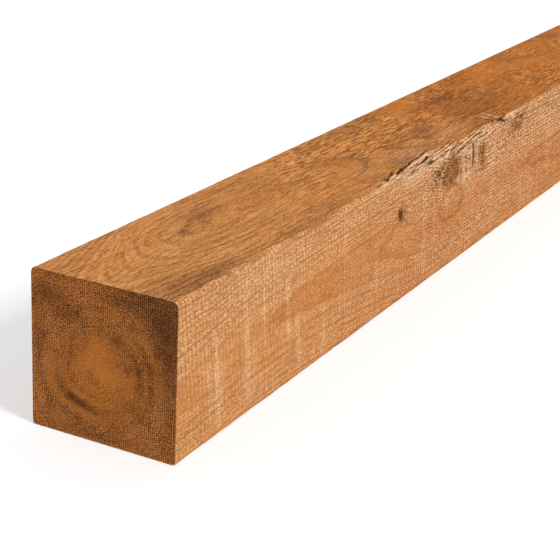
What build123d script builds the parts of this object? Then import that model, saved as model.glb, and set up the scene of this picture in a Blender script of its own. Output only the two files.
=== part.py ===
import os
from build123d import *

# One length of sawn hemlock, lying on its underside.
# X runs along the beam, from the near end to the far end. Y runs across it, from
# the torn side to the plain side. Z is up, and the origin is the middle of the
# underside.

# Sawn section and stock length
beam_width = 152.4
beam_height = 152.4
beam_length = 2438.4

# Arrises, rounded by the saw and by handling
torn_side_arris_radius = 6.0
plain_side_arris_radius = 5.0
lower_arris_radius = 3.0
end_edge_break = 0.5

# Long tear in the upper arris, where the grain swings round the big knot. Its
# start is measured from the near end, its setback across the top face, its drop
# down the side, its lip straight down from the top face, and its hollow is how
# far the torn floor sags below a straight line from lip to side.
tear_start = 380.0
tear_length = 275.0
tear_setback = 21.0
tear_drop = 9.0
tear_lip = 3.0
tear_hollow = 1.2

# Short tear further along the same arris
nick_start = 738.0
nick_length = 52.0
nick_setback = 9.0
nick_drop = 6.0
nick_lip = 2.5
nick_hollow = 0.8

# Evenly spaced stations from each tear's start to its end: the shares of its
# setback, its drop and its lip that it has there
tear_station_shares = [
    (0.08, 0.08, 0.08),
    (0.24, 0.18, 0.20),
    (0.40, 0.30, 0.45),
    (0.54, 0.40, 0.60),
    (0.59, 0.52, 0.80),
    (0.69, 0.68, 0.95),
    (0.79, 0.80, 1.00),
    (0.90, 0.85, 1.00),
    (1.00, 0.90, 1.00),
    (0.60, 1.00, 0.90),
    (0.50, 0.80, 0.70),
    (0.20, 0.45, 0.40),
    (0.08, 0.08, 0.08),
]
nick_station_shares = [
    (0.15, 0.15, 0.15),
    (0.70, 0.60, 0.80),
    (1.00, 1.00, 1.00),
    (0.60, 0.80, 0.60),
    (0.15, 0.15, 0.15),
]

# Splinter left standing in the long tear: a long split frees it along the lip, and
# a shorter one opens in front of it. Insets are from the torn side to the middle.
lip_split_start = 446.0
lip_split_length = 122.0
lip_split_width = 2.6
lip_split_depth = 8.0
lip_split_inset = 16.5
lip_split_turn = 4.0
splinter_split_start = 484.0
splinter_split_length = 76.0
splinter_split_width = 2.0
splinter_split_depth = 9.0
splinter_split_inset = 5.0
splinter_split_turn = 7.0

# Big knot under the tear: a shallow hollow of broken end grain in the side
knot_centre = 608.0
knot_height = 120.0
knot_length = 66.0
knot_rise = 40.0
knot_depth = 3.0

# Upright split beside the big knot
upright_split_centre = 676.0
upright_split_height = 120.0
upright_split_length = 42.0
upright_split_width = 3.0
upright_split_depth = 10.0
upright_split_turn = 94.0

# Slit in the small knot, lower on the same side
slit_centre = 461.0
slit_height = 104.0
slit_length = 17.0
slit_width = 5.0
slit_depth = 6.0
slit_turn = 112.0

# How much narrower and shorter a split is at its root than at its mouth
split_root_share = 0.35

# How far every cut runs past the surface that it starts from
overrun = 2.0

near_end = -beam_length / 2
torn_side = -beam_width / 2
top_face = Plane.XY.offset(beam_height)
side_face = Plane.XZ.offset(beam_width / 2)


def tear_arris(start, length, setback, drop, lip, hollow, station_shares):
    """Cuts the upper arris back through evenly spaced stations, straight between them."""
    spacing = length / (len(station_shares) - 1)
    stations = []
    for step, (setback_share, drop_share, lip_share) in enumerate(station_shares):
        edge = torn_side + setback * setback_share
        lip_foot = (edge, beam_height - lip * lip_share)
        side_foot = (torn_side, beam_height - drop * drop_share)
        floor_middle = (
            (lip_foot[0] + side_foot[0]) / 2,
            (lip_foot[1] + side_foot[1]) / 2 - hollow * setback_share,
        )
        with BuildSketch(Plane.YZ.offset(near_end + start + spacing * step)) as station:
            with BuildLine():
                ThreePointArc(lip_foot, floor_middle, side_foot)
                Polyline(
                    side_foot,
                    (torn_side - overrun, side_foot[1]),
                    (torn_side - overrun, beam_height + overrun),
                    (edge, beam_height + overrun),
                    lip_foot,
                )
            make_face()
        stations.append(station.sketch)
    loft(stations, ruled=True, mode=Mode.SUBTRACT)


def lens(length, width):
    """A pointed outline, the mouth of a split, made of two arcs."""
    tip, crown = length / 2, width / 2
    with BuildLine() as outline:
        ThreePointArc((-tip, 0), (0, crown), (tip, 0))
        ThreePointArc((tip, 0), (0, -crown), (-tip, 0))
    make_face(outline.line)


def split_wood(face, place, length, width, depth, turn):
    """Opens a split that narrows towards its root, square to the face."""
    with BuildSketch(face * Location((*place, overrun), (0, 0, turn))) as mouth:
        lens(length, width)
    with BuildSketch(face * Location((*place, -depth), (0, 0, turn))) as root:
        lens(length * split_root_share, width * split_root_share)
    loft([mouth.sketch, root.sketch], ruled=True, mode=Mode.SUBTRACT)


def sink_knot(centre, height, length, rise, depth):
    """Sinks a shallow oval bowl in the torn side, turned about a line outside it."""
    barrel_radius = (rise**2 / 4 + depth**2) / (2 * depth)
    axis_place = torn_side + depth - barrel_radius
    first, last = centre - length / 2, centre + length / 2
    with BuildSketch(Plane.XY.offset(height)) as barrel_half:
        with BuildLine() as outline:
            ThreePointArc((first, torn_side), (centre, torn_side + depth), (last, torn_side))
            Polyline((last, torn_side), (last, axis_place), (first, axis_place), (first, torn_side))
        make_face(outline.line)
    barrel_axis = Axis((centre, axis_place, height), (1, 0, 0))
    revolve(barrel_half.sketch, axis=barrel_axis, mode=Mode.SUBTRACT)


with BuildPart() as beam:
    with BuildSketch(Plane.YZ.offset(near_end)) as sawn_section:
        Rectangle(beam_width, beam_height, align=(Align.CENTER, Align.MIN))
        lower, upper = sawn_section.vertices().group_by(Axis.Y)
        torn_corner, plain_corner = upper.sort_by(Axis.X)
        fillet(lower, lower_arris_radius)
        fillet(torn_corner, torn_side_arris_radius)
        fillet(plain_corner, plain_side_arris_radius)
    extrude(amount=beam_length)
    ends = beam.faces().filter_by(Axis.X)
    chamfer(ends.edges(), end_edge_break)

    tear_arris(
        tear_start, tear_length, tear_setback, tear_drop, tear_lip, tear_hollow,
        tear_station_shares,
    )
    tear_arris(
        nick_start, nick_length, nick_setback, nick_drop, nick_lip, nick_hollow,
        nick_station_shares,
    )
    split_wood(
        top_face,
        (
            near_end + lip_split_start + lip_split_length / 2,
            torn_side + lip_split_inset,
        ),
        lip_split_length, lip_split_width, lip_split_depth,
        lip_split_turn,
    )
    split_wood(
        top_face,
        (
            near_end + splinter_split_start + splinter_split_length / 2,
            torn_side + splinter_split_inset,
        ),
        splinter_split_length, splinter_split_width, splinter_split_depth,
        splinter_split_turn,
    )
    sink_knot(near_end + knot_centre, knot_height, knot_length, knot_rise, knot_depth)
    split_wood(
        side_face,
        (near_end + upright_split_centre, upright_split_height),
        upright_split_length, upright_split_width, upright_split_depth,
        upright_split_turn,
    )
    split_wood(
        side_face,
        (near_end + slit_centre, slit_height),
        slit_length, slit_width, slit_depth,
        slit_turn,
    )

beam.part.label = "beam"
os.makedirs("parts", exist_ok=True)
export_step(beam.part, "parts/beam.step")
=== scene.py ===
import itertools
import math

import bpy
import numpy as np
from mathutils import Matrix, Vector


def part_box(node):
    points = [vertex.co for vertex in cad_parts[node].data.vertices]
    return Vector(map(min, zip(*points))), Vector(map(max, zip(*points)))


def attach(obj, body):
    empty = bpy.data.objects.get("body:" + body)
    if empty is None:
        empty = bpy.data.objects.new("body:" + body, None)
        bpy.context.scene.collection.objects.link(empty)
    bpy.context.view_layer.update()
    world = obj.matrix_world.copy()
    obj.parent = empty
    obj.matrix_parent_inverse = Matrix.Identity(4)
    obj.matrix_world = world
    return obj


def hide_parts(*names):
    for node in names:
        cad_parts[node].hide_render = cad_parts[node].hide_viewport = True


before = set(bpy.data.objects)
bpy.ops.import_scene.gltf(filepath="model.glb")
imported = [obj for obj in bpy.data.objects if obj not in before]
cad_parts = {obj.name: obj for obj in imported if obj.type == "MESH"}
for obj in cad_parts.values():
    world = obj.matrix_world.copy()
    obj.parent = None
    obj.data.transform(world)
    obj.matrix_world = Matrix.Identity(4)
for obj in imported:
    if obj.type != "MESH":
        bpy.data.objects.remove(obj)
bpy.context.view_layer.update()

# The sawn beam as the frame gives it. Its mesh is drawn in millimetres; node trees,
# the camera and the floor take metres. Distances along the beam are counted from
# the near end.
METRE, MM = 1000, 0.001
(NEAR_END, TORN_SIDE, UNDERSIDE), (FAR_END, PLAIN_SIDE, TOP) = (
    [size * METRE for size in corner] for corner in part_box("beam")
)
LENGTH = FAR_END - NEAR_END
PITH_ACROSS = 12

# Camera fitted to the beam's edges: its place in metres from the near end, its
# heading, its dip and its roll in degrees, and its lens in millimetres
CAMERA_PLACE = (-0.973, -0.6717, 0.6037)
CAMERA_HEADING, CAMERA_DIP, CAMERA_ROLL = 27.331, 20.571, 2.813
CAMERA_LENS = 95.18

# Rounded arrises, how far inside the section the drawn surface stays and must stay,
# how much further the ends' edges are broken, and the angle past which an edge is sharp
LOWER_RADIUS, PLAIN_RADIUS = 3, 5
SKIN, LEAST_SKIN = 0.34, 0.04
EDGE_BREAK, EDGE_REACH = 0.3, 0.5
SHARP_ANGLE = 38

# Floor's half size in metres, and the lamp: strength, spread in degrees, and where
# it stands
FLOOR_HALF = 30.0
LAMP_STRENGTH, LAMP_ANGLE, LAMP_FROM = 2.15, 14, (-0.16, -0.79, 0.60)

# Long tear and short tear in the upper arris: start and length along the beam,
# setback over the top, drop down the side, lip, and their shares at even stations
LONG_TEAR = dict(start=380, length=275, setback=21, drop=9, lip=3)
LONG_TEAR_SHARES = np.array([
    (0.08, 0.08, 0.08),
    (0.24, 0.18, 0.20),
    (0.40, 0.30, 0.45),
    (0.54, 0.40, 0.60),
    (0.59, 0.52, 0.80),
    (0.69, 0.68, 0.95),
    (0.79, 0.80, 1.00),
    (0.90, 0.85, 1.00),
    (1.00, 0.90, 1.00),
    (0.60, 1.00, 0.90),
    (0.50, 0.80, 0.70),
    (0.20, 0.45, 0.40),
    (0.08, 0.08, 0.08),
])
SHORT_TEAR = dict(start=738, length=52, setback=9, drop=6, lip=2.5)
SHORT_TEAR_SHARES = np.array([
    (0.15, 0.15, 0.15),
    (0.70, 0.60, 0.80),
    (1.00, 1.00, 1.00),
    (0.60, 0.80, 0.60),
    (0.15, 0.15, 0.15),
])

# Middles of the two knots in the torn side: distance and height
BIG_KNOT = (608, 120)
SMALL_KNOT = (462, 104)

# Torn wood is drawn as lines over the unrolled arris: distance along the beam, then
# millimetres from the side's plane inwards over the top, or below the top if
# negative. Cracks have a depth, a half width and a darkness, which is painted shade
# in them; ridges stand out, so their depth is below zero, and they have a paleness.
CRACKS = [
    ([(434, 7.0), (445, 10.5), (456, 14.0), (463, 17.0)], 2.5, 1.7, 1.0),
    ([(463, 9.5), (489, 12.2), (514, 15.2), (540, 17.6), (565, 20.2)], 6.0, 1.7, 1.35),
    ([(489, -2.5), (496, -0.5), (515, 3.0), (534, 4.3)], 2.5, 0.8, 0.8),
    ([(534, 4.3), (546, 6.9), (557, 9.8)], 4.5, 1.8, 1.4),
    ([(557, 9.8), (570, 10.3), (582, 12.0)], 1.5, 0.8, 0.5),
    ([(489, -2.5), (487, -6.0), (483, -9.0)], 1.2, 0.9, 0.5),
    ([(579, -1.0), (580.5, -6.0)], 2.0, 1.4, 0.9),
    ([(590, -12.0), (597, -7.7), (608, -3.0)], 2.5, 1.1, 0.95),
    ([(608, -3.0), (621, 0.5), (634, 2.0)], 1.5, 0.9, 0.7),
    ([(600, -13.0), (606, -8.5), (618, -4.0)], 1.5, 0.8, 0.7),
    ([(616, -14.0), (622, -11.1), (644, -7.3), (659, -3.6), (681, -1.4), (700, -0.8)],
     3.0, 1.15, 1.0),
    ([(667, -11.5), (677, -9.7), (693, -8.2), (718, -8.6)], 2.4, 1.0, 0.85),
    ([(640, -3.0), (664, 1.4), (690, 3.2)], 0.8, 0.7, 0.35),
    ([(672, -13.2), (674.5, -22), (676.5, -31), (677, -39)], 5.0, 2.6, 1.4),
    ([(742, 5.5), (752, 8.2), (766, 9.0), (782, 4.0)], 2.5, 1.2, 1.0),
    ([(751, 17.0), (756, 10.0), (766, 3.0), (778, -5.0)], 1.6, 2.2, 1.1),
    ([(768, 27.0), (765, 18.0), (763, 8.0)], 0.8, 1.3, 0.6),
    ([(771, 7.0), (776, 0.0)], 2.0, 3.0, 1.1),
]
RIDGES = [
    ([(586, -9.0), (598, -3.0), (612, 1.5), (640, 4.0)], -1.0, 2.0, 0.8),
    ([(604, -11.0), (618, -8.0), (640, -4.6), (668, -0.6), (700, 1.4)], -1.1, 1.7, 0.9),
    ([(628, -13.5), (646, -10.2), (668, -6.6), (694, -4.2), (730, -3.0)], -1.1, 1.9, 1.0),
    ([(684, -12.0), (706, -11.0), (736, -8.0)], -0.8, 1.6, 0.7),
    ([(470, -6.5), (505, -6.5), (545, -4.5), (572, 0.5), (604, 6.0)], -0.7, 4.2, 0.75),
    ([(396, -3.0), (430, 0.5), (466, 2.5)], -0.4, 4.0, 0.55),
    ([(777, 31.0), (773, 19.5), (771, 9.0)], -0.3, 3.0, 0.9),
    ([(760, 27.0), (757, 17.0), (756, 9.0)], -0.3, 2.8, 0.8),
    ([(780, -2.0), (800, 0.0), (840, -1.0)], -0.4, 3.5, 0.8),
]

# Pale upright strips on the side: distance at the top and at the foot, half
# width, lowest and highest height, strength
PALE_STRIPS = [
    (640, 650, 5.0, 98, 141, 1.6),
    (655, 663, 3.6, 98, 136, 1.3),
    (683, 689, 3.6, 106, 140, 0.8),
    (666, 669, 2.4, 110, 136, 0.7),
]

# Pale spots on the side: distance, height, half length, half height, strength
PALE_SPOTS = [
    (700, 143, 46, 7, 0.5),
    (810, 146, 9, 7, 0.7),
    (510, 141, 62, 9, 0.6),
    (150, 130, 60, 18, 0.3),
    (70, 45, 9, 25, 0.5),
]

# Pale saw streaks across the side: distance at the top arris and at the foot,
# half width, lowest and highest height, strength
SAW_STREAKS = [
    (58, 76, 3.5, 12, 104, 0.9),
    (44, 60, 4.5, 20, 80, 0.45),
    (110, 131, 5.0, 8, 140, 0.75),
    (122, 140, 3.0, 20, 70, 0.5),
    (146, 160, 3.5, 60, 130, 0.5),
    (188, 212, 4.0, 50, 118, 0.7),
    (206, 232, 4.5, 8, 70, 0.7),
    (262, 285, 5.0, 5, 60, 0.5),
    (318, 334, 5.0, 90, 140, 0.4),
    (393, 412, 6.0, 30, 90, 0.35),
    (520, 545, 7.0, 20, 110, 0.35),
    (742, 760, 7.0, 60, 130, 0.4),
    (950, 975, 6.0, 10, 120, 0.4),
    (1180, 1205, 6.0, 30, 130, 0.4),
    (1500, 1524, 8.0, 10, 120, 0.4),
    (1905, 1930, 7.0, 20, 140, 0.4),
    (2222, 2246, 7.0, 10, 120, 0.4),
]

# The heart of the grain on the side: heights of its band at some distances
SIDE_BAND = [
    (0, 62), (60, 68), (150, 80), (305, 80), (432, 71), (499, 63), (580, 62), (676, 66),
    (772, 72), (1200, 60), (1800, 76), (2440, 64),
]

# Where the fuzzy upper band of the side starts: heights at some distances
FUZZ_EDGE = [
    (0, 78), (120, 86), (200, 96), (300, 114), (400, 134), (560, 139), (640, 112),
    (700, 96), (900, 100), (1300, 120), (1800, 90), (2440, 110),
]

# Patches on the top: distance, place across, half length, half width, strength
FUZZY_PATCHES = [
    (38, -62, 50, 17, 0.95),
    (92, -66, 38, 11, 0.85),
    (152, -68, 34, 12, 0.9),
    (205, -70, 30, 8, 0.7),
    (250, -52, 30, 12, 0.45),
    (300, -70, 60, 8, 0.7),
    (330, -48, 22, 8, 0.5),
    (215, 30, 42, 16, 0.75),
    (160, 12, 24, 8, 0.5),
    (60, 66, 40, 7, 0.4),
    (455, 30, 60, 20, 0.55),
    (500, -20, 50, 16, 0.5),
    (620, 10, 60, 16, 0.55),
    (590, -24, 42, 13, 0.9),
    (700, 20, 50, 24, 0.4),
    (845, 0, 60, 30, 0.4),
]
BROWN_AND_SHADE_PATCHES = [
    (40, -60, 46, 15, 0.55),
    (92, -64, 34, 9, 0.5),
    (215, 32, 36, 14, 0.5),
    (150, 18, 14, 6, 0.55),
    (235, -66, 30, 9, 0.4),
    (318, -60, 40, 10, 0.35),
    (470, 8, 40, 14, 0.4),
    (436, -62, 10, 6, 0.5),
    # Painted shade where the top swells and rolls over at the torn arris
    (716, -68, 26, 9, 0.7),
    (760, -40, 60, 20, 0.35),
    (830, -10, 110, 44, 0.55),
    # Painted shade on the top's edge above the long crack
    (520, -54, 42, 6, 0.55),
    (800, 30, 80, 9, 0.5),
]
PALE_PATCHES = [
    (660, -42, 36, 15, 0.32),
    (705, -50, 26, 10, 0.16),
    (545, -44, 42, 12, 0.34),
    (470, -30, 36, 16, 0.15),
]

# Knots: distance along the beam, place across and height, direction outwards,
# radius, reach of the swollen rings, and how far they swing out
KNOTS = [
    ((608, -76.2, 120), (0.10, -0.83, 0.55), 17, 44, 15),
    ((462, -76.2, 104), (0.05, -0.90, 0.43), 4, 24, 5),
    ((566, 30, 152.4), (0.0, 0.2, 0.98), 2.5, 13, 4),
    ((398, -8, 152.4), (0.0, -0.2, 0.98), 2.0, 12, 3.5),
    ((501, -52, 152.4), (0.0, -0.4, 0.92), 1.5, 15, 3.5),
    ((1240, 76.2, 92), (0.0, 0.95, 0.3), 9, 30, 9),
    ((1710, -76.2, 40), (0.0, -0.95, -0.3), 8, 28, 8),
    ((1480, -10, 152.4), (0.0, -0.2, 0.98), 7, 26, 7),
]

# How far across the pith lies at some distances along the beam, and the span of
# sizes that one curve can give
CURVE_SPAN = 400
PITH_WANDER = [
    (0, 16), (140, 27), (350, 22), (480, 10), (620, 2), (900, 10), (1400, 22), (1900, 4),
    (2440, 16),
]

# Colours of the cut ends from the pith outwards: distance and colour, over this reach
END_BANDS_REACH = 120
END_BANDS = [
    (0, (0.74, 0.222, 0.036)),
    (14, (0.82, 0.255, 0.042)),
    (28, (0.76, 0.240, 0.042)),
    (40, (0.66, 0.205, 0.038)),
    (54, (0.86, 0.290, 0.062)),
    (72, (0.84, 0.270, 0.062)),
    (102, (0.78, 0.240, 0.052)),
]

# Marks on the near end. Golden and dark patches: place across, height, half sizes
# and strength. Arcs round the pith: half sizes of their oval, where they are
# strongest and how far they reach in degrees, half width, and strength, which is
# below zero where they are dark
END_GOLD = [
    (3, 94, 10, 14, 0.7),
    (-28, 106, 12, 9, 0.5),
    (-3, 68, 12, 8, 0.8),
    (14, 76, 12, 12, 0.5),
    (52, 66, 8, 16, 0.4),
    (-30, 62, 8, 18, 0.35),
]
END_SHADE = [
    (-16, 103, 8, 7, 0.5),
    (61, 132, 15, 8, 0.75),
    (38, 117, 14, 10, 0.6),
    (-62, 124, 16, 20, 0.9),
    (-66, 88, 10, 26, 0.55),
    (-30, 140, 30, 9, 0.6),
    (70, 90, 8, 16, 0.5),
    (-68, 30, 8, 30, 0.3),
    (8, 6, 46, 5, 0.5),
]
END_ARCS = [
    (42, 38, -62, 38, 3.4, -1.0),
    (50, 45, -52, 48, 3.2, 0.9),
    (34, 31, -48, 40, 2.4, 0.6),
    (27, 25, -40, 60, 1.8, -0.55),
    (57, 54, 172, 46, 3.0, -0.5),
    (46, 40, 165, 40, 2.6, -0.5),
    (66, 62, 158, 42, 5.0, 0.4),
    (52, 50, 215, 30, 3.0, 0.35),
    (60, 55, -30, 50, 3.0, -0.45),
    (72, 70, -48, 40, 4.0, 0.35),
]
ARC_CENTRE = (8, 68)


# Random relief in plain numbers

def cell_value(cells, seed):
    """A repeatable value from -1 to 1 for every whole-numbered cell."""
    mixed = cells.astype(np.uint64)
    mixed = (
        mixed[..., 0] * np.uint64(73856093)
        ^ mixed[..., 1] * np.uint64(19349663)
        ^ mixed[..., 2] * np.uint64(83492791)
        ^ np.uint64(seed * 2654435761)
    )
    mixed = (mixed ^ (mixed >> np.uint64(13))) * np.uint64(1274126177)
    mixed ^= mixed >> np.uint64(16)
    return (mixed & np.uint64(0xFFFFFF)).astype(float) / 0x7FFFFF - 1


def lumps(points, cell, seed):
    """Smooth random relief from -1 to 1; cell is the size of one lump on X, Y and Z."""
    places = points / np.asarray(cell)
    base = np.floor(places)
    part = places - base
    part = part * part * (3 - 2 * part)
    base = base.astype(np.int64)
    total = np.zeros(points.shape[:-1])
    for corner in itertools.product((0, 1), repeat=3):
        corner = np.array(corner)
        weight = np.prod(np.where(corner == 1, part, 1 - part), axis=-1)
        total += weight * cell_value(base + corner, seed)
    return total


def lumps_along(distance, cell, seed):
    """Smooth random relief along one line."""
    points = np.zeros(distance.shape + (3,))
    points[..., 0] = distance
    return lumps(points, (cell, 1, 1), seed)


def ramp(value, start, end):
    """0 before start, 1 after end, with a soft slope between them."""
    part = np.clip((value - start) / (end - start), 0, 1)
    return part * part * (3 - 2 * part)


def bell(value, centre, width):
    """1 at the centre, falling off to both sides."""
    return np.exp(-(((value - centre) / width) ** 2))


# The beam's surface: sections drawn round the timber at many distances

def section_distances():
    """Distances of the sections from the near end, closest where the wood is torn."""
    spans = [
        (0.0, 1.5, 5),
        (1.5, 370, 92),
        (370, 447, 42),
        (447, 476, 26),
        (476, 664, 126),
        (664, 690, 30),
        (690, 850, 80),
        (850, 960, 20),
        (960, LENGTH - 1.5, 36),
        (LENGTH - 1.5, LENGTH, 5),
    ]
    parts = [np.linspace(start, end, count, endpoint=False) for start, end, count in spans]
    return np.append(np.concatenate(parts), LENGTH)


def tear_sizes(distance, tear, shares):
    """Setback, drop and lip of a tear at each distance, and how torn the arris is."""
    run = (distance - tear["start"]) / tear["length"]
    steps = np.linspace(0, 1, len(shares))
    setback, drop, lip = (np.interp(run, steps, shares[:, i]) for i in range(3))
    torn = ramp(run, -0.02, 0.08) * (1 - ramp(run, 0.93, 1.02))
    return tear["setback"] * setback, tear["drop"] * drop, tear["lip"] * lip, torn


def steps(count):
    """Even shares above 0 and up to 1."""
    return np.linspace(0, 1, count)[1:]


def draw_sections(distance):
    """Points of every section: across and up, one column per point, their place, and tear."""
    second = distance > SHORT_TEAR["start"] - 12
    setback, drop, lip, torn = (np.where(second, late, early) for early, late in zip(
        tear_sizes(distance, LONG_TEAR, LONG_TEAR_SHARES),
        tear_sizes(distance, SHORT_TEAR, SHORT_TEAR_SHARES),
    ))
    ragged = 0.8 * lumps_along(distance, 9, 11)
    ragged += 0.35 * lumps_along(distance, 2.6, 12)
    radius = 5.2 + 6 * bell(distance, 650, 75)
    radius += 1.3 * lumps_along(distance, 24, 13)
    radius += 0.9 * lumps_along(distance, 6, 14)
    back = np.maximum((1 - torn) * radius + torn * (setback + ragged), 1.5)
    down = np.maximum((1 - torn) * radius + torn * (drop + 0.5 * ragged), 1.5)

    across, up, parts, shares = [], [], [], []

    def column(y, z, part, share=0.0):
        across.append(np.broadcast_to(y, distance.shape).astype(float))
        up.append(np.broadcast_to(z, distance.shape).astype(float))
        parts.append(part)
        shares.append(share)

    def straight(count, start_y, end_y, start_z, end_z, part):
        for share in steps(count):
            column(start_y + (end_y - start_y) * share, start_z + (end_z - start_z) * share, part)

    low, inner_side, inner_top = UNDERSIDE + LOWER_RADIUS, TOP - 34, TORN_SIDE + 40
    for turn in steps(3) * math.pi / 2:
        rise = LOWER_RADIUS * (1 - math.cos(turn))
        column(TORN_SIDE + LOWER_RADIUS * (1 - math.sin(turn)), UNDERSIDE + rise, "lower")
    straight(31, TORN_SIDE, TORN_SIDE, low, inner_side, "side")
    straight(26, TORN_SIDE, TORN_SIDE, inner_side, TOP - down, "side")

    # Over the arris: round where it is whole, and a sunk floor with a lip where it is torn
    floor_end = 0.86
    undercut = 1.2 * bell(distance, 510, 45)
    lip = lip * (0.35 + 0.65 * bell(distance, 430, 14))
    for share in steps(36):
        turn = share * math.pi / 2
        round_y = TORN_SIDE + back * (1 - math.cos(turn))
        round_z = TOP - down * (1 - math.sin(turn))
        run = np.clip(share / floor_end, 0, 1)
        rise = np.clip((share - floor_end) / (1 - floor_end), 0, 1)
        torn_y = TORN_SIDE + (back + undercut) * run - undercut * rise
        torn_z = TOP - down + (down - lip) * run + lip * rise
        y, z = round_y * (1 - torn) + torn_y * torn, round_z * (1 - torn) + torn_z * torn
        column(y, z, "arris", share)

    straight(20, TORN_SIDE + back, inner_top, TOP, TOP, "top")
    straight(27, inner_top, PLAIN_SIDE - PLAIN_RADIUS, TOP, TOP, "top")
    for turn in steps(5) * math.pi / 2:
        fall = PLAIN_RADIUS * (1 - math.cos(turn))
        column(PLAIN_SIDE - PLAIN_RADIUS * (1 - math.sin(turn)), TOP - fall, "plain")
    straight(18, PLAIN_SIDE, PLAIN_SIDE, TOP - PLAIN_RADIUS, low, "plain")
    for turn in steps(3) * math.pi / 2:
        rise = LOWER_RADIUS * (1 - math.sin(turn))
        column(PLAIN_SIDE - LOWER_RADIUS * (1 - math.cos(turn)), UNDERSIDE + rise, "lower")
    right, left = PLAIN_SIDE - LOWER_RADIUS, TORN_SIDE + LOWER_RADIUS
    straight(18, right, left, UNDERSIDE, UNDERSIDE, "under")
    return np.array(across).T, np.array(up).T, np.array(parts), np.array(shares), torn


def line_dip(x, z, points, width):
    """1 on a line drawn through points, falling off across its width, fading at its ends."""
    best = np.zeros(x.shape)
    for (x0, z0), (x1, z1) in zip(points, points[1:]):
        run_x, run_z = x1 - x0, z1 - z0
        along = ((x - x0) * run_x + (z - z0) * run_z) / (run_x**2 + run_z**2)
        inside = np.clip(along, 0, 1)
        gap = np.hypot(x - x0 - inside * run_x, z - z0 - inside * run_z)
        best = np.maximum(best, np.exp(-((gap / width) ** 2)))
    return best


def side_relief(x, z):
    """Depth of the marks in the torn side, the painted shade in them, and how brown and pale they
    are there.
    """
    points = np.stack([x, np.zeros(x.shape), z], axis=-1)

    # Broken end grain in the big knot
    knot_x, knot_z = BIG_KNOT
    aside, above = x - knot_x + 7 + (z - knot_z) * 0.5, z - knot_z - 3
    reach = np.hypot(aside / 54, above / 21)
    reach += 0.35 * lumps(points, (15, 1, 8), 20)
    broken = 1 - ramp(reach, 0.7, 1.15)
    flakes = lumps(points, (7, 1, 2.0), 21)
    chips = lumps(points, (4.2, 1, 1.6), 22)
    depth = broken * (1.0 + 0.6 * flakes + 1.2 * chips)
    brown_and_shade = broken * (0.62 + 0.5 * ramp(chips + 0.4 * flakes, -0.2, 0.3))
    # Darker where the broken grain is cut deepest: painted shade in its pits
    dark = broken * 0.55 * ramp(0.4 * flakes + chips, 0.10, 0.55)
    flecks = broken * 0.30 * ramp(chips, -0.15, -0.5)

    # Upright fibres beside it
    beside = bell(x, 661, 28) * ramp(z, 94, 110)
    beside *= 1 - ramp(z, 140, 147)
    uprights = lumps(points, (3.6, 1, 17), 26)
    dark += beside * 0.28 * ramp(uprights, 0.15, 0.65)
    flecks += beside * 0.8 * ramp(uprights, 0.05, -0.5)

    # Slit in the small knot, and brown round it, and painted shadow in brown round the upright
    # split
    slit_x, slit_z = SMALL_KNOT
    slit = bell(x, slit_x + (z - slit_z) * -0.45, 4.2) * bell(z, slit_z, 8)
    slit *= 0.75 + 0.4 * lumps(points, (3, 1, 3), 24)
    # The slit is cut in, with painted shade inside it
    depth += 4 * slit
    dark += 1.1 * slit
    brown_and_shade += 0.9 * bell(x, slit_x + 2, 11) * bell(z, slit_z, 12)
    band = ramp(z, 92, 104) * (1 - ramp(z, 130, 140))
    brown_and_shade += 1.0 * bell(x, 735 - z * 0.23, 9) * band
    # Painted shadow in a brown band beside the upright split
    brown_and_shade += 0.7 * bell(x, 692, 8) * bell(z, 122, 16)
    blotch = bell(x, 827, 22) * bell(z, 138, 12)
    brown_and_shade += 2.4 * blotch * ramp(chips, -0.6, 0.3)

    # Pale flecks, spots and strips
    pale = 1.1 * flecks + spots(x, z, PALE_SPOTS)
    for top_x, foot_x, half, low, high, strength in PALE_STRIPS:
        lean = np.interp(z, [low, high], [foot_x, top_x])
        inside = ramp(z, low - 4, low + 8)
        inside *= 1 - ramp(z, high - 5, high + 4)
        strip = strength * bell(x, lean, half) * inside
        pale += strip
        dark *= 1 - 0.75 * np.clip(strip, 0, 1)
    return depth, dark, brown_and_shade, pale


def torn_lines(x, unrolled):
    """Depth of the cracks and ridges of the torn arris, the painted shade in the cracks, and how
    pale the ridges are.
    """
    wander = 0.7 * lumps_along(x, 11, 25)
    depth, dark, pale = (np.zeros(x.shape) for _ in range(3))
    for lines, shade in ((CRACKS, dark), (RIDGES, pale)):
        for line, deep, wide, strength in lines:
            mark = line_dip(x, unrolled + wander, line, wide)
            depth += deep * mark
            np.maximum(shade, strength * mark, out=shade)
    return depth, dark, pale


def saw_streaks(x, z):
    """Pale streaks that the saw left across the side, leaning with the blade."""
    streak = np.zeros(x.shape)
    for top_x, foot_x, half, low, high, strength in SAW_STREAKS:
        lean = foot_x + (top_x - foot_x) * z / TOP
        reach = ramp(z, low - 8, low + 8)
        reach *= 1 - ramp(z, high - 8, high + 8)
        streak = np.maximum(streak, strength * bell(x, lean, half) * reach)
    return streak


def spots(x, y, places):
    """Soft oval patches on a face: middle, half sizes and strength."""
    total = np.zeros(x.shape)
    for middle_x, middle_y, half_x, half_y, strength in places:
        oval = strength * bell(x, middle_x, half_x)
        total += oval * bell(y, middle_y, half_y)
    return total


def saw_relief(x, across):
    """Shallow waves that the saw left, nearly square to the length."""
    slanted = x + 0.05 * across
    waves = 0.16 * lumps_along(slanted, 17, 31)
    return waves + 0.08 * lumps_along(slanted, 5, 32)


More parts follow.
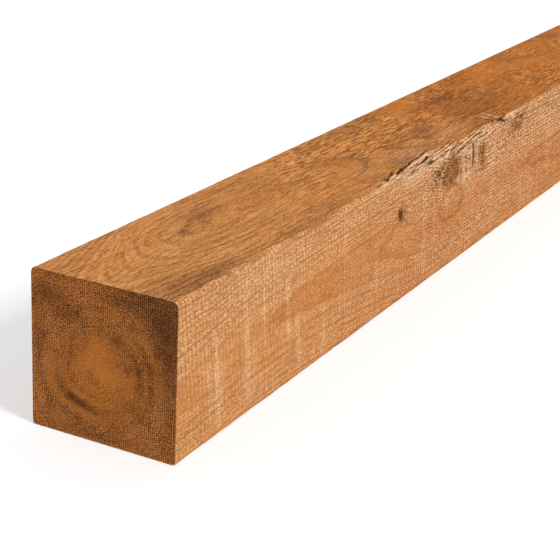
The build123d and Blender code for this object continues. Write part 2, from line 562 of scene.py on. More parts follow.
def shape_beam():
    """The long faces: vertices, faces, values carried by each vertex, and points a section."""
    distance = section_distances()
    across, up, parts, shares, torn = draw_sections(distance)
    torn = torn[:, None]
    x = np.broadcast_to(distance[:, None], across.shape)
    share = np.broadcast_to(shares[None, :], across.shape)
    on_side, on_top, on_arris = ((parts == name)[None, :] for name in ("side", "top", "arris"))

    tangent_y, tangent_z = (
        np.roll(size, -1, axis=1) - np.roll(size, 1, axis=1) for size in (across, up)
    )
    size = np.hypot(tangent_y, tangent_z)
    turn = shares * math.pi / 2
    out_y = np.where(parts == "arris", -np.cos(turn), -tangent_z / size)
    out_z = np.where(parts == "arris", np.sin(turn), tangent_y / size)

    # Marks in the torn side
    points = np.stack([x, across, up], axis=-1)
    depth = SKIN + 0.05 * lumps(points, (30, 15, 15), 41)
    depth += saw_relief(x, np.where(on_side, up, across))
    near_side = np.where(on_side, 1.0, np.where(on_arris, 1 - ramp(share, 0.35, 0.9), 0.0))
    side_depth, *side_shades = side_relief(x, up)
    depth += near_side * side_depth
    crevice, brown_and_shade, pale = (near_side * shade for shade in side_shades)

    # Torn wood, as lines and loose strands over the unrolled arris
    floor = on_arris * torn
    unrolled = across - TORN_SIDE - (TOP - up)
    near_faces = on_side | on_top | on_arris
    line_depth, line_shade, line_pale = torn_lines(x, unrolled)
    depth += near_faces * line_depth
    crevice += near_faces * line_shade
    pale += near_faces * line_pale
    beyond_knot = bell(x, 655, 70) * bell(unrolled, -4, 8)
    rough = np.maximum(floor, near_faces * beyond_knot)
    fibres = np.stack([x, unrolled - 0.09 * x, unrolled * 0], axis=-1)
    strands = lumps(fibres, (46, 1.7, 1), 51)
    strands += 0.7 * lumps(fibres, (17, 1.1, 1), 52)
    slab = ramp(x, 470, 496) * (1 - ramp(x, 556, 574))
    depth += rough * strands * 0.55
    depth -= floor * 1.2 * slab * bell(share, 0.58, 0.22)
    # Painted shade between the loose strands
    crevice += rough * (0.60 + 0.60 * slab) * ramp(strands, 0.10, 0.60)
    pale += rough * 0.7 * ramp(strands, -0.10, -0.65)
    pale += floor * 0.25 * slab * bell(share, 0.60, 0.30)
    depth = np.maximum(depth, LEAST_SKIN)
    edges = bell(distance, 0, EDGE_REACH) + bell(distance, LENGTH, EDGE_REACH)
    depth = depth + EDGE_BREAK * edges[:, None]

    # Fuzz, stain and saw streaks
    on_band = bell(up, np.interp(x, *np.array(SIDE_BAND).T), 17)
    broad = lumps(points, (60, 22, 22), 43)
    edge = np.interp(x, *np.array(FUZZ_EDGE).T) + 9 * broad
    side_fuzz = 0.42 + 0.5 * ramp(up, edge - 16, edge + 20)
    side_fuzz = side_fuzz - 0.34 * on_band + 0.25 * broad
    side_fuzz -= 0.3 * ramp(x, 760, 860) * (1 - ramp(up, 40, 90))
    top_fuzz = 0.10 + spots(x, across, FUZZY_PATCHES) + 0.22 * np.maximum(broad, 0)
    brown_and_shade += on_top * spots(x, across, BROWN_AND_SHADE_PATCHES)
    brown_and_shade += on_arris * (1 - torn) * 0.26 * bell(share, 0.55, 0.32)
    pale += on_top * spots(x, across, PALE_PATCHES)
    side_like = on_side + on_arris * (1 - ramp(share, 0.72, 0.98))
    fuzz = side_like * side_fuzz + (1 - side_like) * top_fuzz
    fuzz = np.where(near_faces, fuzz, 0.5 + 0.35 * broad)
    fuzz = fuzz + 0.8 * floor + 0.6 * pale + 0.4 * brown_and_shade
    values = {
        "crevice": np.clip(crevice, 0, 1.3),
        "torn": floor,
        "fuzz": np.clip(fuzz, 0, 1),
        "brown_and_shade": np.clip(brown_and_shade, 0, 1),
        "pale": np.clip(pale, 0, 1),
        "streak": (on_side + on_arris) * saw_streaks(x, up),
        "side_face": np.where(near_faces, side_like, 0.5),
    }
    carried = {name: np.broadcast_to(value, x.shape).reshape(-1) for name, value in values.items()}

    placed = np.stack([NEAR_END + x, across - out_y * depth, up - out_z * depth], axis=-1)
    index = np.arange(x.size).reshape(x.shape)
    here, after = index[:-1], index[1:]
    corners = [here, np.roll(here, -1, axis=1), np.roll(after, -1, axis=1), after]
    faces = np.stack(corners, axis=-1).reshape(-1, 4)
    return placed.reshape(-1, 3), faces, carried, len(parts)


def end_marks(points):
    """How golden and how dark the near end is at each point, in patches and arcs."""
    across, up = points[:, 1], points[:, 2]
    near = 1.0 * (points[:, 0] < 0)
    gold, shade = spots(across, up, END_GOLD), spots(across, up, END_SHADE)
    side, rise = across - ARC_CENTRE[0], up - ARC_CENTRE[1]
    wander = 2.5 * lumps(points, (METRE, 19, 19), 63)
    for half_y, half_z, middle, reach, wide, strength in END_ARCS:
        gap = (np.hypot(side / half_y, rise / half_z) - 1) * (half_y + half_z) / 2 + wander
        turn = np.degrees(np.arctan2(rise / half_z, side / half_y)) - middle
        mark = strength * bell(gap, 0, wide) * bell((turn + 180) % 360 - 180, 0, reach)
        gold += np.maximum(mark, 0)
        shade += np.maximum(-mark, 0)
    return near * np.clip(gold, 0, 1), near * np.clip(shade, 0, 1)


def cap_end(vertices, carried, ring, outward, rings=30):
    """Closes an end with rings of faces that step in towards its middle."""
    first, count = len(vertices), len(ring)
    middle = vertices[ring].mean(axis=0)
    shares = 1 - np.linspace(0, 1, rings + 1)[1:-1]
    inner_rings = [middle + (vertices[ring] - middle) * share for share in shares]
    flat = np.concatenate(inner_rings + [middle[None, :]])
    bumps = 0.16 * lumps(flat, (METRE, 4, 4), 61)
    bumps += 0.12 * lumps(flat, (METRE, 1.8, 1.8), 62)
    flat[:, 0] -= outward * (0.28 + bumps)
    rims = [ring] + [first + i * count + np.arange(count) for i in range(len(shares))]
    quads = []
    for outer, inner in zip(rims, rims[1:]):
        corners = [outer, np.roll(outer, -1), np.roll(inner, -1), inner]
        quads.append(np.stack(corners[::outward], axis=-1))
    last = rims[-1]
    hub = np.full(count, first + len(shares) * count)
    triangles = np.stack([last, np.roll(last, -1), hub], axis=-1)[:, ::outward]
    gold, shade = end_marks(flat)
    for name in carried:
        added = {"pale": gold, "brown_and_shade": shade}.get(name, np.zeros(len(flat)))
        carried[name] = np.concatenate([carried[name], added])
    return np.concatenate([vertices, flat]), quads, triangles


def add_object(name, data):
    """A new object in the scene."""
    thing = bpy.data.objects.new(name, data)
    bpy.context.scene.collection.objects.link(thing)
    return thing


def build_beam():
    """The beam's mesh, closed and facing outwards, with its values on its vertices."""
    vertices, long_faces, carried, columns = shape_beam()
    near_ring = np.arange(columns)
    far_ring = len(vertices) - columns + near_ring
    vertices, near_quads, near_hub = cap_end(vertices, carried, near_ring, -1)
    vertices, far_quads, far_hub = cap_end(vertices, carried, far_ring, 1)
    polygons = long_faces.tolist()
    for group in near_quads + far_quads + [near_hub, far_hub]:
        polygons += group.tolist()
    mesh = bpy.data.meshes.new("sawn_beam")
    mesh.from_pydata((vertices * MM).tolist(), [], polygons)
    mesh.update()
    for name, values in carried.items():
        layer = mesh.attributes.new(name, "FLOAT", "POINT")
        layer.data.foreach_set("value", values.astype(np.float32))
    mesh.polygons.foreach_set("use_smooth", np.ones(len(polygons), dtype=bool))
    on_end = np.arange(len(polygons)) >= len(long_faces)
    mesh.polygons.foreach_set("material_index", on_end.astype(np.int32))
    mesh.set_sharp_from_angle(angle=math.radians(SHARP_ANGLE))
    return add_object("sawn_beam", mesh)


# Short calls for wiring node trees

VECTOR = "NodeSocketVector"
SOCKETS = {float: "NodeSocketFloat", int: "NodeSocketInt", tuple: VECTOR}


def sum_as(operation, swapped=False):
    """A method that joins a value and another one, or a number, by a Math node."""
    def method(value, other):
        return calc(operation, other, value) if swapped else calc(operation, value, other)
    return method


class Value:
    """What a socket gives. Sums of such values become Math nodes in the socket's tree."""

    def __init__(self, socket):
        self.socket, self.tree = socket, socket.id_data

    __add__, __radd__ = sum_as("ADD"), sum_as("ADD", True)
    __sub__, __rsub__ = sum_as("SUBTRACT"), sum_as("SUBTRACT", True)
    __truediv__, __rtruediv__ = sum_as("DIVIDE"), sum_as("DIVIDE", True)
    __mul__ = sum_as("MULTIPLY")


def tree_of(values):
    """The tree that the first linked value belongs to."""
    return next(value.tree for value in values if isinstance(value, Value))


def metres(*sizes):
    """Sizes in metres, as node trees take them."""
    return [size * MM for size in sizes]


def named(sockets):
    """Sockets as values, by their names."""
    return {socket.name: Value(socket) for socket in sockets}


def put(tree, kind, inputs=None, **settings):
    """Adds a node, sets it up, and links or fills its inputs."""
    node = tree.nodes.new(kind)
    for name, value in settings.items():
        setattr(node, name, value)
    for name, value in (inputs or {}).items():
        if isinstance(value, Value):
            tree.links.new(value.socket, node.inputs[name])
        else:
            node.inputs[name].default_value = value
    return node


def place(tree, kind, inputs=None, output=0, **settings):
    """Adds a node and gives one of its outputs."""
    return Value(put(tree, kind, inputs, **settings).outputs[output])


def calc(operation, *values, clamp=False):
    """One sum, as a Math node."""
    inputs = dict(enumerate(values))
    return place(tree_of(values), "ShaderNodeMath", inputs, operation=operation, use_clamp=clamp)


def vector_calc(operation, *values, output=0):
    """One sum of vectors, as a Vector Math node."""
    inputs = dict(enumerate(values))
    return place(tree_of(values), "ShaderNodeVectorMath", inputs, output, operation=operation)


def parts_of(vector):
    """The X, Y and Z of a vector."""
    node = put(vector.tree, "ShaderNodeSeparateXYZ", {0: vector})
    return [Value(socket) for socket in node.outputs]


def slope(value, start, end, low=0.0, high=1.0):
    """A soft step from low to high while value goes from start to end."""
    inputs = {"Value": value, "From Min": start, "From Max": end, "To Min": low, "To Max": high}
    return place(
        value.tree, "ShaderNodeMapRange", inputs, "Result", interpolation_type="SMOOTHSTEP",
    )


def blend(factor, first, second, mode="MIX"):
    """Two colours mixed by a factor. A colour is a value, or its red, green and blue."""
    colours = [given if isinstance(given, Value) else (*given, 1) for given in (first, second)]
    inputs = {0: factor, 6: colours[0], 7: colours[1]}
    return place(factor.tree, "ShaderNodeMix", inputs, 2, data_type="RGBA", blend_type=mode)


def layered(colour, *layers):
    """A colour with tints laid over it in turn: factor, tint, and a mode where it is not MIX."""
    for factor, tint, *mode in layers:
        colour = blend(factor, colour, tint, *mode)
    return colour


def grainy(position, scale, detail=2.0, roughness=0.55, stretch=(1, 1, 1)):
    """Noise around 0, from about -0.5 to 0.5, stretched as its scale says."""
    placed = place(position.tree, "ShaderNodeMapping", {"Vector": position, "Scale": stretch})
    inputs = {"Vector": placed, "Scale": scale, "Detail": detail, "Roughness": roughness}
    return place(position.tree, "ShaderNodeTexNoise", inputs, "Fac") - 0.5


def noise_along(distance, detail):
    """Noise from 0 to 1 along one line."""
    inputs = {"W": distance, "Detail": detail}
    return place(distance.tree, "ShaderNodeTexNoise", inputs, "Fac", noise_dimensions="1D")


def follow(reach, places):
    """A size in metres that changes along the beam through chosen places, in millimetres."""
    node = put(reach.tree, "ShaderNodeFloatCurve", {"Value": reach})
    curve = node.mapping.curves[0]
    while len(curve.points) < len(places):
        curve.points.new(0.5, 0.5)
    for point, (distance, size) in zip(curve.points, places):
        point.location = (distance / LENGTH, 0.5 + size / CURVE_SPAN)
    node.mapping.update()
    return (Value(node.outputs[0]) - 0.5) * (CURVE_SPAN * MM)


def new_group(name, inputs, kind="ShaderNodeTree"):
    """An empty node group, and its inputs, each given by its usual value or by its type."""
    tree = bpy.data.node_groups.new(name, kind)
    for label, value in inputs.items():
        socket_type = SOCKETS.get(type(value), value)
        socket = tree.interface.new_socket(label, in_out="INPUT", socket_type=socket_type)
        if socket_type != value:
            socket.default_value = value
    return tree, named(tree.nodes.new("NodeGroupInput").outputs)


def close_group(tree, results, socket_type=SOCKETS[float]):
    """Gives a group its named outputs."""
    for label in results:
        tree.interface.new_socket(label, in_out="OUTPUT", socket_type=socket_type)
    put(tree, "NodeGroupOutput", results)
    return tree


def use_group(name, inputs):
    """Places a shared group with its own values, and gives its outputs by name."""
    tree = inputs["Position"].tree
    return named(put(tree, "ShaderNodeGroup", inputs, node_tree=GROUPS[name]).outputs)


# Wood, as groups that every material shares

def make_knot_group():
    """How far one branch swings the growth rings out, and its own hard heart."""
    tree, given = new_group("Branch knot", {
        "Position": VECTOR, "Centre": VECTOR, "Direction": VECTOR,
        "Radius": 0.01, "Reach": 0.03, "Swing": 0.01,
    })
    direction = given["Direction"]
    offset = vector_calc("SUBTRACT", given["Position"], given["Centre"])
    along = vector_calc("DOT_PRODUCT", offset, direction, output="Value")
    line = place(tree, "ShaderNodeVectorMath", {0: direction, "Scale": along}, operation="SCALE")
    away = vector_calc("MULTIPLY", vector_calc("SUBTRACT", offset, line), (0.72, 1, 1))
    gap = vector_calc("LENGTH", away, output="Value") + grainy(given["Position"], 90) * 0.006
    share = gap / given["Reach"]
    rooted = slope(along, -0.08, -0.03)
    swell = calc("POWER", 2.718, share * share * -1.0) * given["Swing"] * rooted
    heart = slope(gap / given["Radius"], 1.1, 0.8) * rooted
    return close_group(tree, {"Swell": swell, "Heart": heart, "Gap": gap})


def make_growth_group():
    """Growth rings round a wandering pith, cut by whatever face shows them."""
    tree, given = new_group("Growth rings", {
        "Position": VECTOR, "Swell": 0.0, "Ring Width": 0.0038, "Waviness": 0.0036,
    })
    position = given["Position"]
    run, across, up = parts_of(position)
    length, pith = metres(LENGTH, PITH_ACROSS)
    reach = run / length + 0.5
    drift = (follow(reach, PITH_WANDER) - pith) * slope(up, 0.105, 0.150)
    side = across - pith - drift
    rise = up - follow(reach, SIDE_BAND)
    radius = calc("SQRT", side * side + rise * rise) + side * 0.20
    tapered = radius - run * 0.016
    turned = slope(up, 0.110, 0.150, 0.4, 1.0)
    for wave in (
        grainy(position, 8.0, 1.0, 0.4, (0.8, 1.5, 1.5)) * given["Waviness"] * turned,
        grainy(position, 26.0, 1.0, 0.5, (0.7, 1.8, 1.8)) * 0.0020 * turned,
        grainy(position, 170.0, 2.0, 0.6, (0.22, 1.6, 1.6)) * 0.0013,
    ):
        tapered, radius = tapered + wave, radius + wave
    tapered = tapered - given["Swell"]
    count = tapered / given["Ring Width"]
    part, whole = calc("FRACT", count), calc("FLOOR", count)
    chance = place(tree, "ShaderNodeTexWhiteNoise", {"W": whole}, "Value", noise_dimensions="1D")
    late = slope(part, 0.55, 0.90) * slope(part, 1.0, 0.94) * (chance * 0.8 + 0.2)
    tone = noise_along(tapered * 130.0, 2.0) - 0.5
    return close_group(tree, {"Late Wood": late, "Ring Tone": tone, "Radius": radius})


def make_fuzz_group():
    """Raised fuzz from the saw: small tufts with painted light on their tips and painted shade at
    their roots, over random tone.
    """
    tree, given = new_group("Raised fuzz", {
        "Position": VECTOR, "Grain Size": 0.00078, "Stretch": (1, 1, 1), "Clumps": 0.4,
        "Lean": 0.0,
    })
    scaled = vector_calc("MULTIPLY", given["Position"], given["Stretch"])
    pitch = 1.0 / given["Grain Size"]
    tufts = named(put(tree, "ShaderNodeTexVoronoi", {"Vector": scaled, "Scale": pitch}).outputs)
    chance = parts_of(tufts["Color"])[0]
    tip = 0.75 - tufts["Distance"]
    lit = (chance - 0.5) + (tip - 0.3)
    lit = lit + grainy(scaled, 540.0, 1.0, 0.8) * given["Clumps"] + given["Lean"]
    speck = slope(lit, -0.55, 0.75, -1.0, 1.0)
    return close_group(tree, {"Speck": speck, "Height": tip * (chance + 0.35)})


def make_weave_group():
    """Even fine marks: saw rows across the length, and grain lines along it."""
    tree, given = new_group("Fine marks", {
        "Position": VECTOR, "Swell": 0.0, "Row Spacing": 0.0058, "Line Spacing": 0.0034,
        "Looseness": 7.0,
    })
    position = given["Position"]
    run, across, up = parts_of(position)
    girth, slant = across + up, across - up
    leaned = run + girth * 0.14
    girth = girth + given["Swell"] * 1.4
    loose = grainy(position, 300.0, 1.0, 0.5, (0.35, 1, 1)) * given["Looseness"]
    bend = grainy(position, 30.0, 2.0, 0.6, (0.3, 1, 1)) * 9.0 + loose
    sway = grainy(position, 22.0, 1.0, 0.5) * 6.0 - loose * 2.0
    results = {}
    for name, distance, spacing, shift in (
        ("Rows", leaned, "Row Spacing", sway),
        ("Lines", girth, "Line Spacing", bend),
        ("Cross Lines", slant, "Line Spacing", sway),
    ):
        results[name] = calc("SINE", distance / given[spacing] * (2 * math.pi) + shift)
    return close_group(tree, results)


def make_saw_group():
    """Narrow scratches that the saw left across the grain, here strong and there gone."""
    tree, given = new_group("Saw marks", {"Position": VECTOR, "Slant": -0.14})
    run, across, up = parts_of(given["Position"])
    leaned = run - (across + up) * given["Slant"]
    broad, narrow = noise_along(leaned * 70.0, 1.0), noise_along(leaned * 420.0, 2.0)
    patch = slope(grainy(given["Position"], 13.0), -0.02, 0.14)
    streak = slope(broad, 0.5, 0.66) * patch * slope(narrow, 0.38, 0.62)
    return close_group(tree, {"Streak": streak, "Height": broad * 0.5 + narrow * 0.3})


def wood_growth(position):
    """Growth rings with every knot in them, then the knots' hearts, gap and swell."""
    swell, heart, gap = 0.0, 0.0, 1.0
    for (away, across, up), direction, radius, reach, swing in KNOTS:
        knot = use_group("knot", {
            "Position": position, "Centre": metres(NEAR_END + away, across, up),
            "Direction": Vector(direction).normalized(),
            "Radius": radius * MM, "Reach": reach * MM, "Swing": swing * MM,
        })
        swell = swell + knot["Swell"]
        heart = calc("MAXIMUM", heart, knot["Heart"])
        gap = calc("MINIMUM", gap, knot["Gap"])
    return use_group("growth", {"Position": position, "Swell": swell}), heart, gap, swell


# Materials

def start_material(name):
    """A material, its node tree and the object's coordinates."""
    material = bpy.data.materials.new(name)
    material.use_nodes = True
    tree = material.node_tree
    return material, tree, place(tree, "ShaderNodeTexCoord", output="Object")


def finish_material(material, colour, relief, roughness, specular):
    """Joins colour, relief and roughness to the Principled shader."""
    tree = material.node_tree
    shader = tree.nodes["Principled BSDF"]
    height, strength, distance = relief
    inputs = {"Height": height, "Strength": strength, "Distance": distance}
    normal = place(tree, "ShaderNodeBump", inputs)
    for name, value in (("Base Color", colour), ("Normal", normal), ("Roughness", roughness)):
        tree.links.new(value.socket, shader.inputs[name])
    shader.inputs["Specular IOR Level"].default_value = specular
    return material


def on_mesh(tree, *names):
    """Values that the mesh carries on its vertices."""
    kind = "ShaderNodeAttribute"
    return [
        place(tree, kind, output="Fac", attribute_name=name, attribute_type="GEOMETRY")
        for name in names
    ]


def make_sawn_face():
    """Long faces: ring lines, smooth orange wood, pale and brown fuzz, torn wood, painted shade in
    cracks.
    """
    material, tree, position = start_material("sawn_hemlock_face")
    rings, heart, gap, swell = wood_growth(position)
    late = rings["Late Wood"]
    side, torn, crevice = on_mesh(tree, "side_face", "torn", "crevice")
    brown_and_shade, pale, streak, fuzzy = on_mesh(tree, "brown_and_shade", "pale", "streak", "fuzz")
    along = parts_of(position)[0]

    def stretch(start, end, low=0.0, high=1.0):
        """A soft step over a stretch of the beam, in metres from the near end."""
        return slope(along, NEAR_END * MM + start, NEAR_END * MM + end, low, high)

    # Rings, fibres and figure. Onward is the top away from the near end, and further
    # is where the side's fuzz is full.
    early = blend(
        slope(rings["Ring Tone"], -0.26, 0.26), (0.66, 0.240, 0.052), (0.90, 0.40, 0.120),
    )
    clear = slope(grainy(position, 14.0, 2.0, 0.6, (0.6, 1, 1)), -0.10, 0.10, 0.25, 1.0)
    by_knot = slope(swell, 0.0005, 0.006, 0.0, 0.8)
    lined = late * calc("ADD", slope(side, 0.0, 1.0, 0.8, 0.38), by_knot, clamp=True) * clear
    mottle = grainy(position, 13.0, 3.0, 0.6, (0.5, 1, 1))
    fibre = grainy(position, 600.0, 2.0, 0.8, (0.05, 1, 1)) * 1.1
    fibre = fibre + grainy(position, 1300.0, 1.0, 0.6, (0.14, 1, 1))
    plain = slope(side, 0.0, 1.0, 1.0, 0.6)
    onward = stretch(0.10, 0.80) * (1.0 - side)
    figure = grainy(position, 26.0, 3.0, 0.6, (0.28, 1, 1))
    figured = slope(onward, 0.0, 0.5, 0.20, 0.62)
    uneven = grainy(position, 55.0, 2.0, 0.6, (0.6, 1, 1))
    cover = calc("ADD", fuzzy, uneven * 0.8, clamp=True)
    further = stretch(0.22, 0.60, 0.65, 1.0)

    # Fine marks, coarser the further away they are
    saw = use_group("saw", {"Position": position})
    lines = rows = 0.0
    for row_gap, line_gap, loose, *reach in (
        (0.0062, 0.0023, 4.0, 0.45, 0.10, 0.0, 1.0),
        (0.0068, 0.0034, 6.0, 0.05, 0.35, 0.1, 1.0),
        (0.0105, 0.0048, 8.0, 0.35, 0.75, 0.0, 1.4),
    ):
        weave = use_group("weave", {
            "Position": position, "Swell": swell, "Row Spacing": row_gap,
            "Line Spacing": line_gap, "Looseness": loose,
        })
        weight = stretch(*reach)
        lines = lines + weave["Lines"] * weight
        rows = rows + weave["Rows"] * weight
    dashes = grainy(position, 430.0, 2.0, 0.7, (0.13, 1, 1)) + lines * 0.06
    patchy = slope(grainy(position, 17.0, 2.0, 0.6, (0.6, 1, 1)), -0.14, 0.12, 0.25, 0.95)
    patchy = patchy * slope(pale, 0.0, 0.2, 1.0, 0.25)
    dashed = slope(dashes, 0.01, 0.12) * patchy * slope(onward, 0.0, 0.5, 0.15, 0.85)
    glints = slope(dashes, 0.0, -0.11) * patchy * slope(onward, 0.0, 0.5, 0.0, 0.75)

    # Fuzz, leaning lighter or darker with the marks under it
    marks = lines * slope(cover, 0.2, 1.0, 0.46, 0.28) + rows * side * 0.24
    lean = (saw["Height"] - 0.36) * 1.2 - late * 0.8 + marks - fibre * (torn * 6.0 + 0.6)
    fuzz = use_group("fuzz", {
        "Position": position, "Stretch": (0.36, 1, 1), "Clumps": 1.9, "Lean": lean,
    })
    speck = fuzz["Speck"]
    # Colours of the painted light on the tufts' tips and of the painted shade at their roots
    tip = blend(side, (0.72, 0.345, 0.130), (1.0, 0.63, 0.35))
    tip = blend(onward * 0.6, tip, (0.86, 0.33, 0.07))
    root = blend(side, (0.140, 0.048, 0.013), (0.27, 0.102, 0.034))
    nap = slope(cover, 0.0, 1.0, 0.46, 0.84) * further
    scratched = saw["Streak"] * (side * 0.35 + 0.08)
    scratched = calc("MAXIMUM", scratched, streak * slope(speck, -0.9, 0.6, 0.20, 1.0))
    scratched = calc("MAXIMUM", scratched, pale * slope(speck, -0.9, 0.4, 0.30, 1.0))
    ringed = calc("FRACT", gap / 0.0022)
    heartwood = blend(slope(ringed, 0.2, 0.9), (0.42, 0.16, 0.05), (0.17, 0.060, 0.018))
    colour = layered(
        early,
        (lined, (0.27, 0.076, 0.012)),
        (slope(mottle, 0.0, 0.24, 0.0, 0.55), (0.52, 0.150, 0.022)),
        (slope(fibre, 0.0, 0.30, 0.0, 0.9) * plain, (0.20, 0.058, 0.011)),
        (slope(fibre, 0.0, -0.30, 0.0, 0.75) * plain, (1.0, 0.52, 0.20)),
        (onward * 0.8, (0.62, 0.184, 0.015)),
        (slope(figure, 0.0, 0.17) * figured, (0.26, 0.088, 0.018)),
        (slope(figure, 0.0, -0.17) * figured, (0.86, 0.290, 0.050)),
        (side * (1.0 - cover) * further, (0.56, 0.175, 0.030)),
        (cover * side * 0.35, (0.88, 0.47, 0.22)),
        # Tufts of fuzz: painted light on their tips and painted shade at their roots
        (slope(speck, -0.3, 1.0) * nap, tip),
        (slope(speck, 0.1, -1.0) * nap, root),
        (dashed, (0.17, 0.048, 0.009)),
        (glints, (0.98, 0.43, 0.13)),
        # Brown wood and brown patches, among them painted shade by the torn arris and round the
        # upright split
        (brown_and_shade * slope(speck, 1.0, -0.8, 0.40, 1.0), (0.15, 0.046, 0.009)),
        (stretch(0.50, 0.90) * onward * 0.9, (0.95, 0.84, 0.58), "MULTIPLY"),
        (scratched * 0.8, (1.0, 0.67, 0.40)),
        (brown_and_shade * side * 0.7, (1.0, 0.88, 0.66), "MULTIPLY"),
        (heart * 0.6 * (1.0 - torn), heartwood),
        # Painted shade in the cracks, the slit and the pits of the torn wood
        (slope(crevice, 0.1, 0.9, 0.0, 0.94), (0.060, 0.020, 0.007)),
    )
    height = fuzz["Height"] * (cover * 0.9 + 0.08) + saw["Height"] * 0.25
    height = height + late * 0.12 - fibre * 0.8
    roughness = slope(speck, -1.0, 1.0, 0.66, 0.9)
    return finish_material(material, colour, (height, 0.8, 0.0006), roughness, 0.06)


def make_crosscut_end():
    """Ends: rings round the pith, broad dark bands, stain, and a close nap of cut fibres with
    painted light on their tips and painted shade at their roots.
    """
    material, tree, position = start_material("crosscut_hemlock_end")
    rings = wood_growth(position)[0]
    late, radius = rings["Late Wood"], rings["Radius"]
    gold, dark = on_mesh(tree, "pale", "brown_and_shade")
    wavy = radius + grainy(position, 17.0, 3.0, 0.55) * 0.040
    bands = put(tree, "ShaderNodeValToRGB", {"Fac": wavy / (END_BANDS_REACH * MM)})
    elements = bands.color_ramp.elements
    while len(elements) < len(END_BANDS):
        elements.new(0.5)
    for element, (away, tint) in zip(elements, END_BANDS):
        element.position = away / END_BANDS_REACH
        element.color = (*tint, 1)

    across, up = parts_of(position)[1:]
    corner = up * 0.9 - across
    cloud = grainy(position, 22.0, 3.0, 0.6)
    shade = slope(corner + cloud * 0.13, 0.11, 0.21, 0.0, 0.75)
    stains = grainy(position, 45.0, 3.0, 0.6)
    golden = calc("ADD", slope(stains, -0.06, -0.24, 0.0, 0.4), gold * 0.85, clamp=True)
    darkened = calc("ADD", slope(stains, 0.03, 0.20, 0.0, 0.6), dark * 0.9, clamp=True)

    turn = {"Vector": position, "Rotation": (math.pi / 4, 0, 0)}
    turned = place(tree, "ShaderNodeMapping", turn)
    weave = use_group("weave", {"Position": turned, "Line Spacing": 0.0028, "Looseness": 5.0})
    lean = (weave["Lines"] + weave["Cross Lines"]) * 0.26 - late * 0.15
    fuzz = use_group("fuzz", {"Position": position, "Lean": lean})
    speck = fuzz["Speck"]
    nap = slope(radius, 0.015, 0.055, 0.52, 0.80) - gold * 0.25
    lined = slope(grainy(position, 26.0), -0.10, 0.25, 0.0, 0.22)
    colour = layered(
        Value(bands.outputs["Color"]),
        (late * lined, (0.17, 0.045, 0.007)),
        (slope(rings["Ring Tone"], -0.2, 0.2) * 0.22, (0.98, 0.36, 0.065)),
        (shade, (0.17, 0.050, 0.014)),
        (golden, (0.96, 0.34, 0.062)),
        (darkened, (0.22, 0.062, 0.012)),
        # Painted light on the tips of the cut fibres and painted shade at their roots
        (slope(speck, 0.0, 1.0) * nap * 0.8, (1.0, 0.50, 0.20)),
        (slope(speck, 0.15, -0.85) * nap, (0.060, 0.016, 0.004)),
        (gold * 0.4, (0.66, 0.225, 0.042)),
        (dark * 0.45, (0.15, 0.045, 0.010)),
    )
    roughness = slope(speck, -1.0, 1.0, 0.75, 0.95)
    return finish_material(material, colour, (fuzz["Height"], 0.7, 0.0009), roughness, 0.05)


def make_fibre_wood():
    """Torn fibres: pale, with darker lengths among them."""
    material, tree, position = start_material("torn_hemlock_fibre")
    mottle = grainy(position, 160.0, 2.0, 0.6, (0.2, 1, 1))
    colour = blend(slope(mottle, -0.05, 0.20), (0.95, 0.60, 0.33), (0.36, 0.135, 0.045))
    ribbed = grainy(position, 2500.0, 1.0, 0.5, (0.1, 1, 1))
    roughness = slope(mottle, -0.3, 0.3, 0.7, 0.85)
    return finish_material(material, colour, (ribbed, 0.5, 0.0002), roughness, 0.06)


# Fibres raised where the arris is torn, laid along the grain

def make_fibre_tree():
    """Slivers scattered over the torn wood, kept inside the sawn section."""
    tree, given = new_group("Raised fibres", {
        "Geometry": "NodeSocketGeometry", "Beam": "NodeSocketObject",
        "Wood": "NodeSocketMaterial", "Fibres per Area": 50000.0, "Fibre Length": 0.008,
        "Fibre Radius": 0.0003, "Lift": 0.10, "Seed": 7,
    }, "GeometryNodeTree")
    tree.is_modifier = True
    lift, seed = given["Lift"], given["Seed"]

    surface = place(tree, "GeometryNodeObjectInfo", {"Object": given["Beam"]}, "Geometry")
    torn, crack = (
        place(tree, "GeometryNodeInputNamedAttribute", {"Name": name}, data_type="FLOAT")
        for name in ("torn", "crevice")
    )
    often = calc("SUBTRACT", torn, crack * 2.5, clamp=True) * given["Fibres per Area"]
    scatter = {"Mesh": surface, "Density": often, "Seed": seed}
    points = place(tree, "GeometryNodeDistributePointsOnFaces", scatter, "Points")
    sliver = place(tree, "GeometryNodeMeshCone", {
        "Vertices": 4, "Radius Top": 0.00008, "Radius Bottom": given["Fibre Radius"],
        "Depth": given["Fibre Length"],
    }, "Mesh")
    low = place(tree, "ShaderNodeCombineXYZ", {0: 0.0, 1: math.pi / 2 - lift, 2: -0.12})
    high = place(tree, "ShaderNodeCombineXYZ", {0: 0.0, 1: math.pi / 2 + lift, 2: 0.22})
    chance = "FunctionNodeRandomValue"
    ways = {"Min": low, "Max": high, "Seed": seed}
    lay = place(tree, chance, ways, data_type="FLOAT_VECTOR")
    length = place(tree, chance, {2: 0.4, 3: 1.5, "Seed": seed}, 1, data_type="FLOAT")
    size = place(tree, "ShaderNodeCombineXYZ", {0: 1.0, 1: 1.0, 2: length})
    laid = place(tree, "GeometryNodeInstanceOnPoints", {
        "Points": points, "Instance": sliver, "Rotation": lay, "Scale": size,
    })
    real = place(tree, "GeometryNodeRealizeInstances", {"Geometry": laid})
    inside = place(tree, "GeometryNodeInputPosition")
    inside = vector_calc("MAXIMUM", inside, metres(NEAR_END, TORN_SIDE + 0.2, UNDERSIDE))
    inside = vector_calc("MINIMUM", inside, metres(FAR_END, PLAIN_SIDE, TOP - 0.2))
    kept = place(tree, "GeometryNodeSetPosition", {"Geometry": real, "Position": inside})
    wood = {"Geometry": kept, "Material": given["Wood"]}
    faced = place(tree, "GeometryNodeSetMaterial", wood)
    return close_group(tree, {"Geometry": faced}, "NodeSocketGeometry")


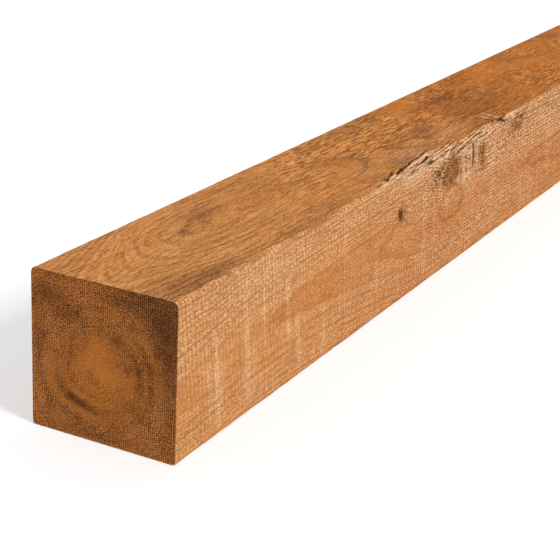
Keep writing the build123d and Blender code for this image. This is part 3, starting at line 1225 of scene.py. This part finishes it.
def raise_fibres(beam):
    """Grows the fibres on the finished beam and keeps them as a plain mesh."""
    source = add_object("fibre_source", bpy.data.meshes.new("fibre_source"))
    tree = make_fibre_tree()
    modifier = source.modifiers.new("fibres", "NODES")
    modifier.node_group = tree
    items = tree.interface.items_tree
    sockets = {item.name: item.identifier for item in items if item.in_out == "INPUT"}
    modifier[sockets["Beam"]] = beam
    modifier[sockets["Wood"]] = make_fibre_wood()
    grown = source.evaluated_get(bpy.context.evaluated_depsgraph_get())
    mesh = bpy.data.meshes.new_from_object(grown)
    bpy.data.objects.remove(source)
    return add_object("raised_fibres", mesh)


# Studio: pale floor, pale surroundings, a soft key lamp from the torn side

def seen_directly(tree):
    """1 for what the camera sees, also in a mirror or through glass, and 0 for the rest."""
    path = named(put(tree, "ShaderNodeLightPath").outputs)
    mirrored = calc("MAXIMUM", path["Is Glossy Ray"], path["Is Transmission Ray"])
    return calc("MAXIMUM", path["Is Camera Ray"], mirrored)


def make_floor():
    """A wide pale floor that keeps the beam's shadow."""
    half = FLOOR_HALF
    corners = [(-half, -half, 0), (half, -half, 0), (half, half, 0), (-half, half, 0)]
    mesh = bpy.data.meshes.new("studio_floor")
    mesh.from_pydata(corners, [], [(0, 1, 2, 3)])
    floor = add_object("studio_floor", mesh)
    material = bpy.data.materials.new("pale_floor")
    material.use_nodes = True
    tree = material.node_tree
    tree.nodes.clear()
    seen = seen_directly(tree)
    paint = blend(seen, (0.45, 0.45, 0.45), (0.62, 0.62, 0.62))
    matt = place(tree, "ShaderNodeBsdfDiffuse", {"Color": paint})
    glow = place(tree, "ShaderNodeEmission", {"Color": (1, 1, 1, 1), "Strength": seen * 0.48})
    both = place(tree, "ShaderNodeAddShader", {0: matt, 1: glow})
    put(tree, "ShaderNodeOutputMaterial", {"Surface": both})
    mesh.materials.append(material)


def light_studio():
    """White surroundings and one broad lamp, at a plain level."""
    world = bpy.data.worlds.new("studio")
    world.use_nodes = True
    tree = world.node_tree
    tree.nodes.clear()
    strength = seen_directly(tree) * 0.5 + 0.5
    sky = place(tree, "ShaderNodeBackground", {"Color": (1, 1, 1, 1), "Strength": strength})
    put(tree, "ShaderNodeOutputWorld", {"Surface": sky})
    bpy.context.scene.world = world

    lamp = bpy.data.lights.new("key_lamp", "SUN")
    lamp.energy = LAMP_STRENGTH
    lamp.angle = math.radians(LAMP_ANGLE)
    key = add_object("key_lamp", lamp)
    key.rotation_euler = Vector(LAMP_FROM).to_track_quat("Z", "Y").to_euler()


def set_camera():
    """The camera at the fitted place, heading along the beam from its near end."""
    heading, dip, roll = (math.radians(a) for a in (CAMERA_HEADING, CAMERA_DIP, CAMERA_ROLL))
    forward = math.cos(dip)
    ahead = Vector((forward * math.cos(heading), forward * math.sin(heading), -math.sin(dip)))
    level = Vector((math.sin(heading), -math.cos(heading), 0))
    upright = level.cross(ahead)
    right = level * math.cos(roll) + upright * math.sin(roll)
    above = upright * math.cos(roll) - level * math.sin(roll)
    turned = Matrix((right, above, -ahead)).transposed().to_4x4()
    turned.translation = Vector(CAMERA_PLACE) + Vector((NEAR_END * MM, 0, 0))
    data = bpy.data.cameras.new("camera")
    data.sensor_width = 36
    data.lens = CAMERA_LENS
    data.clip_end = 200
    camera = add_object("camera", data)
    camera.matrix_world = turned
    bpy.context.scene.camera = camera


set_camera()
light_studio()
make_floor()
bpy.context.scene.view_settings.view_transform = "Standard"

GROUPS = {
    "knot": make_knot_group(),
    "growth": make_growth_group(),
    "fuzz": make_fuzz_group(),
    "saw": make_saw_group(),
    "weave": make_weave_group(),
}
beam = build_beam()
beam.data.materials.append(make_sawn_face())
beam.data.materials.append(make_crosscut_end())
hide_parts("beam")
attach(beam, "root")
fibres = raise_fibres(beam)
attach(fibres, "root")
